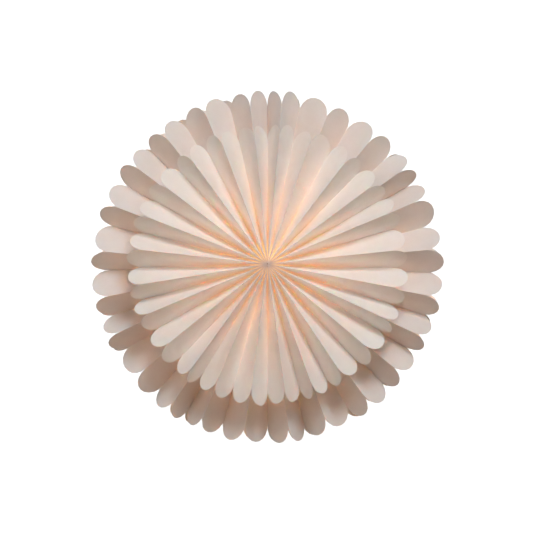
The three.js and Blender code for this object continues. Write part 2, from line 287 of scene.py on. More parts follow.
class Nodes:
    """A node tree that is written as a list of calls."""

    def __init__(self, tree):
        self.tree = tree

    def add(self, kind, inputs=None, **settings):
        """Adds a node; inputs maps a socket to a value or to another node's output."""
        node = self.tree.nodes.new(kind)
        for name, value in settings.items():
            setattr(node, name, value)
        for key, value in (inputs or {}).items():
            if isinstance(value, bpy.types.NodeSocket):
                self.tree.links.new(value, node.inputs[key])
            else:
                node.inputs[key].default_value = value
        return node

    def link(self, output, socket):
        """Feeds an output into a socket."""
        self.tree.links.new(output, socket)

    def math(self, operation, first, second=0.0):
        """A maths node's output."""
        return self.add("ShaderNodeMath", {0: first, 1: second}, operation=operation).outputs[0]

    def noise(self, vector, scale, detail=3.0, roughness=0.5):
        """A noise texture's value."""
        inputs = {"Vector": vector, "Scale": scale, "Detail": detail, "Roughness": roughness}
        return self.add("ShaderNodeTexNoise", inputs).outputs[0]

    def ramp(self, value, low, high, to_low=0.0, to_high=1.0, smooth_ends=True):
        """A value moved from one range to another."""
        inputs = {"Value": value, "From Min": low, "From Max": high, "To Min": to_low, "To Max": to_high}
        kind = "SMOOTHSTEP" if smooth_ends else "LINEAR"
        return self.add("ShaderNodeMapRange", inputs, interpolation_type=kind).outputs[0]

    def mix(self, factor, first, second):
        """A mix of two colours."""
        node = self.add("ShaderNodeMix", data_type="RGBA")
        for socket, value in ((node.inputs[0], factor), (node.inputs[6], first), (node.inputs[7], second)):
            if isinstance(value, bpy.types.NodeSocket):
                self.tree.links.new(value, socket)
            elif isinstance(value, (tuple, list)):
                socket.default_value = (*value[:3], 1.0)
            else:
                socket.default_value = value
        return node.outputs[2]


def new_material(name):
    """A material, its nodes and its Principled shader."""
    material = bpy.data.materials.new(name)
    material.use_nodes = True
    return material, Nodes(material.node_tree), material.node_tree.nodes["Principled BSDF"]


def new_group(name, inputs, outputs):
    """A node group with named float inputs and named outputs; gives its tree, input node and output node."""
    tree = bpy.data.node_groups.new(name, "ShaderNodeTree")
    for label, value in inputs:
        socket = tree.interface.new_socket(label, in_out="INPUT", socket_type="NodeSocketFloat")
        socket.default_value = value
    for label, kind in outputs:
        tree.interface.new_socket(label, in_out="OUTPUT", socket_type=kind)
    source = tree.nodes.new("NodeGroupInput")
    sink = tree.nodes.new("NodeGroupOutput")
    return tree, source, sink


def wear_group():
    """Cloudy tone and fine grain for moulded, turned and drawn pieces."""
    if "Wear and grain" in bpy.data.node_groups:
        return bpy.data.node_groups["Wear and grain"]
    tree, source, sink = new_group(
        "Wear and grain",
        [("Cloud scale", 60.0), ("Grain scale", 900.0)],
        [("Tone", "NodeSocketFloat"), ("Grain", "NodeSocketFloat")],
    )
    nodes = Nodes(tree)
    place = nodes.add("ShaderNodeTexCoord").outputs["Object"]
    cloud = nodes.noise(place, source.outputs["Cloud scale"], 4.0, 0.6)
    grain = nodes.noise(place, source.outputs["Grain scale"], 2.0, 0.6)
    nodes.link(cloud, sink.inputs["Tone"])
    nodes.link(grain, sink.inputs["Grain"])
    return tree


def fibre_group():
    """The surface of uncoated card: soft clouds, matted fibres and a slight waviness."""
    if "Card fibres" in bpy.data.node_groups:
        return bpy.data.node_groups["Card fibres"]
    tree, source, sink = new_group(
        "Card fibres",
        [("Fibre scale", 420.0), ("Waviness", 0.35)],
        [("Tone", "NodeSocketFloat"), ("Height", "NodeSocketFloat")],
    )
    nodes = Nodes(tree)
    place = nodes.add("ShaderNodeTexCoord").outputs["Object"]
    stretch = nodes.add("ShaderNodeMapping", {"Vector": place, "Scale": (1.0, 0.35, 1.0)}).outputs[0]
    cloud = nodes.noise(place, 22.0, 3.0, 0.55)
    fibre = nodes.noise(stretch, source.outputs["Fibre scale"], 5.0, 0.7)
    swell = nodes.noise(place, 38.0, 1.0, 0.4)
    tone = nodes.math("ADD", nodes.math("MULTIPLY", cloud, 0.75), nodes.math("MULTIPLY", fibre, 0.25))
    waves = nodes.math("MULTIPLY", swell, source.outputs["Waviness"])
    height = nodes.math("ADD", nodes.math("MULTIPLY", fibre, 0.12), waves)
    nodes.link(tone, sink.inputs["Tone"])
    nodes.link(height, sink.inputs["Height"])
    return tree


def plain_material(name, colour, roughness, metallic=0.0, tone=0.12, bump=0.05, scales=(60.0, 900.0), **sockets):
    """A finish with cloudy tone and fine grain; other Principled sockets are set by name."""
    material, nodes, shader = new_material(name)
    wear = nodes.add("ShaderNodeGroup", node_tree=wear_group())
    wear.inputs["Cloud scale"].default_value, wear.inputs["Grain scale"].default_value = scales
    dark = tuple(c * (1 - tone) for c in colour)
    light = tuple(min(1.0, c * (1 + tone / 2)) for c in colour)
    nodes.link(nodes.mix(wear.outputs["Tone"], dark, light), shader.inputs["Base Color"])
    nodes.link(nodes.ramp(wear.outputs["Tone"], 0.3, 0.7, roughness * 0.8, roughness * 1.2), shader.inputs["Roughness"])
    height = {"Height": wear.outputs["Grain"], "Strength": bump, "Distance": 0.2 * MM}
    nodes.link(nodes.add("ShaderNodeBump", height).outputs[0], shader.inputs["Normal"])
    shader.inputs["Metallic"].default_value = metallic
    for socket, value in sockets.items():
        shader.inputs[socket.replace("_", " ")].default_value = value
    return material


def paper_material(name, tone, inside, outside, strength, reach, ridges, heart):
    """Card with fibres, pressed creases and the warm light of the bulb behind it.

    tone darkens the card as painted shade. The light has the colour inside deep in the valleys and the colour outside
    elsewhere, and ends at the reach. ridges is the share of it that the front folds get, and heart the strength of the
    hot spot.
    """
    paper = bpy.context.scene.lantern_paper
    lamp = bpy.context.scene.lantern_lamp
    material, nodes, shader = new_material(name)
    place = nodes.add("ShaderNodeTexCoord").outputs["Object"]

    fibres = nodes.add("ShaderNodeGroup", node_tree=fibre_group())
    from_fold = nodes.add("ShaderNodeAttribute", attribute_name="from_fold").outputs["Fac"]
    crease = nodes.ramp(from_fold, 0.0, 1.1 * MM, 1.0, 0.0)
    # tone scales both card colours; on the outer rings this is painted shade.
    shade, colour = ([channel * part for channel, part in zip(c, tone)] for c in (paper.shade, paper.colour))
    card = nodes.mix(nodes.ramp(fibres.outputs["Tone"], 0.35, 0.65), shade, colour)
    pressed = nodes.mix(nodes.math("MULTIPLY", crease, 0.3), card, (0.93, 0.88, 0.83))
    nodes.link(pressed, shader.inputs["Base Color"])
    nodes.link(nodes.ramp(fibres.outputs["Tone"], 0.3, 0.7, 0.95, 0.8), shader.inputs["Roughness"])
    fibre_bump = {"Height": fibres.outputs["Height"], "Strength": 0.3, "Distance": 0.6 * MM}
    rough = nodes.add("ShaderNodeBump", fibre_bump).outputs[0]
    fold_bump = {"Height": crease, "Strength": 0.35, "Distance": 0.25 * MM, "Normal": rough}
    nodes.link(nodes.add("ShaderNodeBump", fold_bump).outputs[0], shader.inputs["Normal"])

    # Light from the bulb: strongest just above the axis and in the valleys, which lie nearest to it.
    split = nodes.add("ShaderNodeSeparateXYZ", {0: place})
    across = nodes.math("POWER", split.outputs["X"], 2.0)
    upright = nodes.math("POWER", nodes.math("SUBTRACT", split.outputs["Z"], 0.008), 2.0)
    off_axis = nodes.math("SQRT", nodes.math("ADD", across, upright))
    depth = nodes.add("ShaderNodeAttribute", attribute_name="valley").outputs["Fac"]
    valley = nodes.math("POWER", depth, 1.6)
    near = nodes.ramp(off_axis, 0.06, reach, 1.0, 0.0)
    least = nodes.ramp(off_axis, 0.02, 0.14, ridges, 0.0)
    warm = nodes.math("MULTIPLY", near, nodes.ramp(valley, 0.0, 1.0, least, 1.0, smooth_ends=False))
    close = nodes.ramp(off_axis, 0.0, 0.036, 1.0, 0.0)
    hot = nodes.math("MULTIPLY", close, nodes.ramp(valley, 0.1, 1.0))
    deep = nodes.math("MULTIPLY", nodes.ramp(off_axis, 0.06, 0.17, 1.0, 0.0), nodes.ramp(valley, 0.0, 0.7))
    tint = nodes.mix(deep, tuple(outside), tuple(inside))
    fire = nodes.mix(hot, tint, tuple(lamp.heart))
    glow = nodes.math("ADD", nodes.math("MULTIPLY", warm, strength), nodes.math("MULTIPLY", hot, heart))
    shine = nodes.add("ShaderNodeVectorMath", {0: fire}, operation="SCALE")
    nodes.link(glow, shine.inputs["Scale"])
    nodes.link(shine.outputs[0], shader.inputs["Emission Color"])
    shader.inputs["Emission Strength"].default_value = 1.0
    shader.inputs["Specular IOR Level"].default_value = 0.25
    shader.inputs["Subsurface Weight"].default_value = 0.35
    shader.inputs["Subsurface Radius"].default_value = (1.0, 0.62, 0.4)
    shader.inputs["Subsurface Scale"].default_value = 1.2 * MM
    shader.inputs["Sheen Weight"].default_value = 0.08
    shader.inputs["Sheen Roughness"].default_value = 0.6
    return material


def lit_card():
    """The card of the ring in front of the bulb, which glows all over."""
    lamp = bpy.context.scene.lantern_lamp
    return paper_material("lit card", (1, 1, 1), lamp.glow, lamp.rim, strength=0.2, reach=0.2, ridges=0.5, heart=0.3)


def outer_card():
    """The card of the other rings, darkened by painted shade; it only catches light between the rings."""
    lamp = bpy.context.scene.lantern_lamp
    # The tone (0.91, 0.91, 0.93) is painted shade: the outer rings' card is drawn darker than the front ring's.
    return paper_material("outer card", (0.91, 0.91, 0.93), lamp.ember, lamp.ember, strength=0.19, reach=0.25,
                          ridges=0.15, heart=0.0)


PLAIN_FINISHES = {
    "tab": dict(colour=(0.78, 0.74, 0.68), roughness=0.6),
    "thread": dict(colour=(0.72, 0.66, 0.56), roughness=0.9, scales=(400.0, 2500.0), bump=0.6),
    "cage wire": dict(colour=(0.72, 0.70, 0.66), roughness=0.38, Coat_Weight=0.3),
    "holder plastic": dict(colour=(0.74, 0.71, 0.64), roughness=0.42, bump=0.12),
    "porcelain": dict(colour=(0.80, 0.77, 0.72), roughness=0.3, Coat_Weight=0.5),
    "brass": dict(colour=(0.78, 0.56, 0.22), roughness=0.32, metallic=1.0, tone=0.25),
    "nickel": dict(colour=(0.66, 0.65, 0.63), roughness=0.28, metallic=1.0, tone=0.2),
    "solder": dict(colour=(0.55, 0.55, 0.56), roughness=0.42, metallic=1.0, tone=0.3, bump=0.4),
    "dark glass": dict(colour=(0.012, 0.012, 0.016), roughness=0.12, tone=0.3),
}


def material_of(key):
    """The material with this name, made when it is first asked for."""
    if key in bpy.data.materials:
        return bpy.data.materials[key]
    if key in PLAIN_FINISHES:
        return plain_material(key, **PLAIN_FINISHES[key])
    makers = {
        "lit card": lit_card,
        "outer card": outer_card,
        "beech": beech_material,
        "bulb glass": glass_material,
        "phosphor": phosphor_material,
    }
    return makers[key]()


def beech_material():
    """Turned beech with its grain along the axis."""
    material, nodes, shader = new_material("beech")
    place = nodes.add("ShaderNodeTexCoord").outputs["Object"]
    stretch = nodes.add("ShaderNodeMapping", {"Vector": place, "Scale": (1.0, 0.08, 1.0)}).outputs[0]
    grain = nodes.noise(stretch, 700.0, 4.0, 0.6)
    colour = nodes.mix(nodes.ramp(grain, 0.35, 0.65), (0.42, 0.27, 0.14), (0.62, 0.44, 0.26))
    nodes.link(colour, shader.inputs["Base Color"])
    nodes.link(nodes.ramp(grain, 0.3, 0.7, 0.55, 0.75), shader.inputs["Roughness"])
    height = {"Height": grain, "Strength": 0.2, "Distance": 0.2 * MM}
    nodes.link(nodes.add("ShaderNodeBump", height).outputs[0], shader.inputs["Normal"])
    return material


def glass_material():
    """Clear blown glass with a faint bloom."""
    material, nodes, shader = new_material("bulb glass")
    place = nodes.add("ShaderNodeTexCoord").outputs["Object"]
    bloom = nodes.noise(place, 90.0, 3.0, 0.6)
    tint = nodes.mix(bloom, (1.0, 0.95, 0.86), (1.0, 0.98, 0.94))
    nodes.link(tint, shader.inputs["Base Color"])
    nodes.link(nodes.ramp(bloom, 0.3, 0.7, 0.02, 0.07), shader.inputs["Roughness"])
    shader.inputs["Transmission Weight"].default_value = 1.0
    shader.inputs["IOR"].default_value = 1.45
    return material


def phosphor_material():
    """The lit coating of a light-emitting filament, with its row of brighter dots."""
    material, nodes, shader = new_material("phosphor")
    place = nodes.add("ShaderNodeTexCoord").outputs["Object"]
    dots = nodes.noise(place, 520.0, 1.0, 0.4)
    colour = nodes.mix(nodes.ramp(dots, 0.4, 0.6), (1.0, 0.55, 0.18), (1.0, 0.78, 0.42))
    nodes.link(colour, shader.inputs["Base Color"])
    nodes.link(colour, shader.inputs["Emission Color"])
    shader.inputs["Emission Strength"].default_value = 12.0
    return material


# ---- pleated paper


class Ring:
    """One pleated ring: where its folds lie round the axis and in depth."""

    def __init__(self, key, inner, outer, panel, middle, facing, wide, seed, loose=0.0):
        self.key = key
        self.inner, self.outer, self.panel = inner, outer, panel
        self.middle, self.facing = middle, facing
        self.random = np.random.default_rng(seed)
        self.turns = self.fold_turns(wide, loose)
        self.round = self.outer - self.panel / 2
        self.depths = [self.fold_depths(0.0), self.fold_depths(self.round)]
        self.bows = self.random.uniform(-1.0, 1.0, PANELS)
        self.curls = self.random.uniform(-1.0, 1.0, PANELS)
        self.reaches = self.random.uniform(-2.2, 1.0, PANELS) * MM

    def fold_turns(self, wide, loose):
        """Turns of the 49 folds from seam to seam: pleats stand open or shut, as they do on a hand-opened fan."""
        even = 360.0 / PANELS
        centres = SEAM_TURN + even * (np.arange(PANELS) + 0.5)
        widths = even + self.random.normal(0.0, 0.55, PANELS) + loose * self.random.normal(0.0, 1.0, PANELS)
        # The pleats sag, so a panel that faces up opens wider than the one below it.
        rises = np.array([1.0 if self.is_front_fold(panel + 1) else -1.0 for panel in range(PANELS)])
        widths += 0.85 * rises * np.sin(np.radians(centres))
        for turn, extra, spread in wide:
            away = (centres - turn + 180.0) % 360.0 - 180.0
            widths += extra * np.exp(-((away / spread) ** 2))
        widths = np.clip(widths, NARROWEST, WIDEST)
        for sheet in range(SHEETS):
            panels = slice(sheet * PANELS_PER_SHEET, (sheet + 1) * PANELS_PER_SHEET)
            widths[panels] *= (360.0 / SHEETS) / widths[panels].sum()
        return SEAM_TURN + np.concatenate([[0.0], np.cumsum(widths)])

    def is_front_fold(self, fold):
        """Is the fold, numbered from the seam, one of those nearer the front?"""
        return (fold % 2 == 1) == (self.facing > 0)

    def fold_depths(self, radius):
        """Depths of the folds at a radius, so that every panel keeps its width as nearly as its neighbours let it."""
        arcs = radius * np.radians(np.diff(self.turns))
        heights = np.sqrt(np.maximum(self.panel**2 - arcs**2, (0.3 * self.panel) ** 2))
        signs = np.array([1.0 if self.is_front_fold(p + 1) else -1.0 for p in range(PANELS)])
        rest = np.array([1.0 if self.is_front_fold(f) else -1.0 for f in range(PANELS)]) * heights.mean() / 2
        pull = 0.25
        system = np.eye(PANELS) * (2.0 + pull)
        target = rest * pull
        for panel in range(PANELS):
            after = (panel + 1) % PANELS
            system[panel, after] -= 1.0
            system[after, panel] -= 1.0
            target[after] += signs[panel] * heights[panel]
            target[panel] -= signs[panel] * heights[panel]
        solved = np.linalg.solve(system, target)
        return self.middle + np.concatenate([solved, solved[:1]])

    def fold_point(self, fold, radius):
        """A point on a fold, which is a straight crease."""
        share = radius / self.round
        depth = self.depths[0][fold] * (1 - share) + self.depths[1][fold] * share
        return np.array(at(radius, self.turns[fold], depth))

    def sheet_share(self, panel, across):
        """How far a point of a panel lies from its sheet's first edge to its last: across is as in surface."""
        first = panel - panel % PANELS_PER_SHEET
        start, end = self.turns[first], self.turns[first + PANELS_PER_SHEET]
        turn = self.turns[panel] + (self.turns[panel + 1] - self.turns[panel]) * across
        return (turn - start) / (end - start)

    def inner_radius(self, fold):
        """Front folds of a ring that closes on the axis come closer to it than the tied back folds."""
        return self.inner[0] if self.is_front_fold(fold) else self.inner[1]

    def surface(self, panel, across, row, rows, lift=0.0):
        """A point of a panel: across runs 0 to 1 from fold to fold, and row counts outwards along it.

        The last of the rows is the half-round end. lift stands the point off the panel.
        """
        paper = bpy.context.scene.lantern_paper
        straight = rows - ROUND_ROWS
        starts = [self.inner_radius(panel), self.inner_radius(panel + 1)]
        inner = starts[0] * (1 - across) + starts[1] * across
        bulge = math.sqrt(max(0.0, 1 - (2 * across - 1) ** 2))
        if row <= straight:
            radius = inner + (self.round - inner) * row / straight
        else:
            end = self.outer + self.reaches[panel]
            radius = self.round + (end - self.round) * bulge * math.sin(math.pi / 2 * (row - straight) / ROUND_ROWS)
        left, right = self.fold_point(panel, radius), self.fold_point(panel + 1, radius)
        point = left + (right - left) * across
        along = self.fold_point(panel, radius + MM) + self.fold_point(panel + 1, radius + MM) - left - right
        normal = np.cross(right - left, along)
        normal /= np.linalg.norm(normal)
        share = radius / self.outer
        bow = self.bows[panel] * paper.bow * math.sin(math.pi * across) * share**2
        bent = max(0.0, (share - CURL_START) / (1 - CURL_START))
        curl = self.curls[panel] * paper.curl * bent**2 * math.sin(math.pi * across) ** 0.5
        return point + normal * (bow + curl + lift)


def ring_of(key):
    """The ring with this name, with its pleats standing as they do when the lantern has been opened by hand."""
    paper = bpy.context.scene.lantern_paper
    large = {"inner": (64.4 * MM, 64.4 * MM), "outer": 250 * MM, "panel": paper.large_panel}
    small = {"outer": 196 * MM, "panel": paper.small_panel}
    # Each entry is the turn of a pleat that stands wider or narrower than the rest, by how much, and over what spread.
    front_wide = ((29, 4.6, 4), (80, 2, 5), (91, 2.4, 4), (121, 2, 4), (312, 2, 4), (338, 2, 4), (232, 1.5, 5),
                  (6, -1.5, 5), (355, -1.5, 5), (114, -2.5, 3), (216, -2.2, 4), (160, -1.5, 5), (258, -1.5, 4))
    outer_wide = ((18, 2.4, 3), (30, 4.8, 4), (70, 3, 3.5), (88, 2.6, 3.5), (233, 2.6, 4), (265, 2.6, 4),
                  (284, 2.4, 4), (299, 2, 4), (338, 2.6, 4), (6, -1.6, 6), (356, -1.4, 5), (61, -3, 3), (75, -3.4, 3),
                  (166, -3, 3), (211, -3, 4), (248, -2.6, 4))
    rings = {
        "small_front": dict(small, inner=(0.6 * MM, 3.3 * MM), middle=SMALL_DEPTH * MM, facing=1,
                            wide=front_wide, seed=11),
        "large_front": dict(large, middle=LARGE_DEPTH * MM, facing=1, wide=outer_wide, seed=23),
        "large_back": dict(large, middle=-LARGE_DEPTH * MM, facing=-1, wide=outer_wide, seed=23, loose=0.45),
        "small_back": dict(small, inner=(35.7 * MM, 35.7 * MM), middle=-SMALL_DEPTH * MM, facing=-1,
                           wide=front_wide, seed=11, loose=0.6),
    }
    return Ring(key, **rings[key])


def shaped_grid(columns, rows, place):
    """A flat grid whose every vertex is moved to place(column, row)."""
    clear_selection()
    bpy.ops.mesh.primitive_grid_add(x_subdivisions=columns, y_subdivisions=rows, size=1)
    piece = bpy.context.object
    for vertex in piece.data.vertices:
        column = round((vertex.co.x + 0.5) * columns)
        row = round((vertex.co.y + 0.5) * rows)
        vertex.co = place(column, row)
    return piece


def point_attribute(piece, name, values):
    """Stores one number for each vertex."""
    attribute = piece.data.attributes.new(name, "FLOAT", "POINT")
    attribute.data.foreach_set("value", np.asarray(values, np.float32))


def fan_blend(piece):
    """Bakes the piece's transform and reads each point's share of the way between the sheet's two edges."""
    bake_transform(piece)
    count = len(piece.data.vertices)
    shares = np.zeros(count, np.float32)
    piece.data.attributes["share"].data.foreach_get("value", shares)


def pleated_sheet(ring, sheet):
    """One sheet of a ring: a flat strip folded into eight petals."""
    paper = bpy.context.scene.lantern_paper
    across, rows = paper.steps_across, paper.steps_along + ROUND_ROWS
    columns = PANELS_PER_SHEET * across
    first = sheet * PANELS_PER_SHEET
    from_fold, shares, valleys = [], [], []

    def place(column, row):
        panel, step = divmod(column, across)
        if panel == PANELS_PER_SHEET:
            panel, step = panel - 1, across
        share = (1 - math.cos(math.pi * step / across)) / 2
        number = first + panel
        from_fold.append(min(share, 1 - share) * ring.panel)
        shares.append(ring.sheet_share(number, share))
        front = share if ring.is_front_fold(number + 1) else 1 - share
        valleys.append(1 - front if ring.middle > 0 else front)
        return Vector(ring.surface(number, share, row, rows))

    piece = shaped_grid(columns, rows, place)
    for name, values in (("from_fold", from_fold), ("share", shares), ("valley", valleys)):
        point_attribute(piece, name, values)
    tidy_mesh(piece, merge=5e-6, recalculate=False)
    apply_modifier(piece, "SOLIDIFY", thickness=paper.thickness, offset=0.0)
    tidy_mesh(piece, merge=1e-7)
    smooth(piece, 30)
    key = "lit card" if ring.key == "small_front" else "outer card"
    name = f"paper_{ring.key}_{sheet + 1}"
    finish_piece(piece, name, material_of(key), None, f"{ring.key}_sheet_{sheet + 1}")
    fan_blend(piece)


def closing_tab(ring):
    """The self-adhesive tab on the hidden face of a ring's last panel."""
    panel = PANELS - 1
    node = f"{ring.key}_closing_tab"
    low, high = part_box(node)
    near, far = -high[2], -low[2]
    straight = bpy.context.scene.lantern_paper.steps_along
    start = ring.inner_radius(panel)
    edge, width, cut = 0.66, 0.28, 0.08  # as shares of the panel's width
    shares = []

    def place(column, row):
        corner = cut if row in (0, TAB_STEPS) else 0.0
        share = edge + corner / 4 + (width - corner / 2) * column / TAB_STEPS
        radius = near + (far - near) * row / TAB_STEPS
        step = (radius - start) / (ring.round - start) * straight
        shares.append(ring.sheet_share(panel, share))
        return Vector(ring.surface(panel, share, step, straight + ROUND_ROWS, lift=-0.55 * MM))

    piece = shaped_grid(TAB_STEPS, TAB_STEPS, place)
    point_attribute(piece, "share", shares)
    thickened(piece, 0.6 * MM, bevel=0.15 * MM, bend=math.radians(50))
    finish_piece(piece, f"tab_{ring.key}", material_of("tab"), None, node)
    fan_blend(piece)


class LanternStep:
    """What every step has in common."""

    bl_options = {"REGISTER", "UNDO"}


class PaperRingOperator(LanternStep):
    """Makes the six sheets and the closing tab of one ring."""

    ring_key = ""

    def execute(self, context):
        ring = ring_of(self.ring_key)
        for sheet in range(SHEETS):
            pleated_sheet(ring, sheet)
        closing_tab(ring)
        return {"FINISHED"}


class LANTERN_OT_small_front_ring(PaperRingOperator, bpy.types.Operator):
    """Fold the small ring that closes the front"""

    bl_idname = "lantern.small_front_ring"
    bl_label = "Small front ring"
    ring_key = "small_front"


class LANTERN_OT_large_front_ring(PaperRingOperator, bpy.types.Operator):
    """Fold the large ring behind the small front one"""

    bl_idname = "lantern.large_front_ring"
    bl_label = "Large front ring"
    ring_key = "large_front"


class LANTERN_OT_large_back_ring(PaperRingOperator, bpy.types.Operator):
    """Fold the second large ring"""

    bl_idname = "lantern.large_back_ring"
    bl_label = "Large back ring"
    ring_key = "large_back"


class LANTERN_OT_small_back_ring(PaperRingOperator, bpy.types.Operator):
    """Fold the small ring at the back, which stays open in the middle"""

    bl_idname = "lantern.small_back_ring"
    bl_label = "Small back ring"
    ring_key = "small_back"


# ---- cage, hub and eye


class LANTERN_OT_cage(LanternStep, bpy.types.Operator):
    """Bend the rings and struts of the wire cage"""

    bl_idname = "lantern.cage"
    bl_label = "Wire cage"

    def execute(self, context):
        wire = material_of("cage wire")
        for name, radius, depth, thickness in (
            ("cage_ring_front", CAGE_RADIUS, LARGE_DEPTH, 1.2),
            ("cage_ring_back", CAGE_RADIUS, -LARGE_DEPTH, 1.2),
            ("collar_ring", COLLAR_RADIUS, -82, 1.5),
        ):
            finish_piece(wire_ring(radius, depth, thickness), f"wire_{name}", wire, "cage", name)
        route = ((COLLAR_RADIUS, -80.2), (COLLAR_RADIUS, -68), (56.7, -46), (62.7, -36), (62.7, 0), (62.7, 36),
                 (55.7, 45), (24, 60), (10.3, 65.6))
        for number, turn in enumerate((45, 135, 225, 315), start=1):
            points = [at(radius * MM, turn, depth * MM) for radius, depth in route]
            strut = wire_along(points, 1.15 * MM)
            node = f"cage_strut_{number}"
            finish_piece(strut, f"wire_{node}", wire, "cage", node)
        return {"FINISHED"}


class LANTERN_OT_front_hub(LanternStep, bpy.types.Operator):
    """Turn the wooden hub and dowel, and tie the front ring's folds to the dowel"""

    bl_idname = "lantern.front_hub"
    bl_label = "Hub, dowel and binding"

    def execute(self, context):
        beech = material_of("beech")
        hub = spun(((3.2, 64), (8, 64), (8.7, 64.8), (8.7, 66.8), (8, 67.6), (3.2, 67.6)), steps=48)
        finish_piece(hub, "turned_hub", beech, "cage", "front_hub")
        dowel = spun(((0, 62), (3, 62), (3, 99.2), (2.2, 100), (0, 100)), steps=32)
        finish_piece(dowel, "turned_dowel", beech, "cage", "centre_dowel")
        for node, depth in (("binding_thread_front", 97), ("binding_thread_back", 77)):
            turns = [(3.5, depth - 0.7 + 0.7 * step / 12, step * 30) for step in range(25)]
            points = [at(radius * MM, turn, along * MM) for radius, along, turn in turns]
            thread = wire_along(points, 0.35 * MM, sides=2, resolution=3)
            finish_piece(thread, f"wound_{node}", material_of("thread"), "cage", node)
        return {"FINISHED"}


class LANTERN_OT_hanging_eye(LanternStep, bpy.types.Operator):
    """Bend the eye that the lantern hangs on"""

    bl_idname = "lantern.hanging_eye"
    bl_label = "Hanging eye"

    def execute(self, context):
        points = [at(COLLAR_RADIUS * MM, 0, depth * MM) for depth in (-83.8, -92, -102)]
        for turn in range(20, 331, 31):
            points.append(at(6 * MM, turn, -104 * MM) + Vector((0, 0, 30 * MM)))
        eye = wire_along(points, 0.95 * MM, resolution=6)
        finish_piece(eye, "wire_hanging_eye", material_of("cage wire"), "cage", "hanging_eye")
        return {"FINISHED"}


# ---- lamp


def threaded(inner, outer, start, end, pitch, depth):
    """Profile of a sleeve with a rolled thread on its outside, as (radius, depth) points in millimetres."""
    points = [(inner, start)]
    turns = round(abs(end - start) / pitch)
    step = (end - start) / turns
    for turn in range(turns):
        base = start + step * turn
        for share, lift in ((0.0, 0.0), (0.25, 0.7), (0.5, 1.0), (0.75, 0.7)):
            points.append((outer - depth * (1 - lift), base + step * share))
    points += [(outer - depth, end), (inner, end)]
    return points


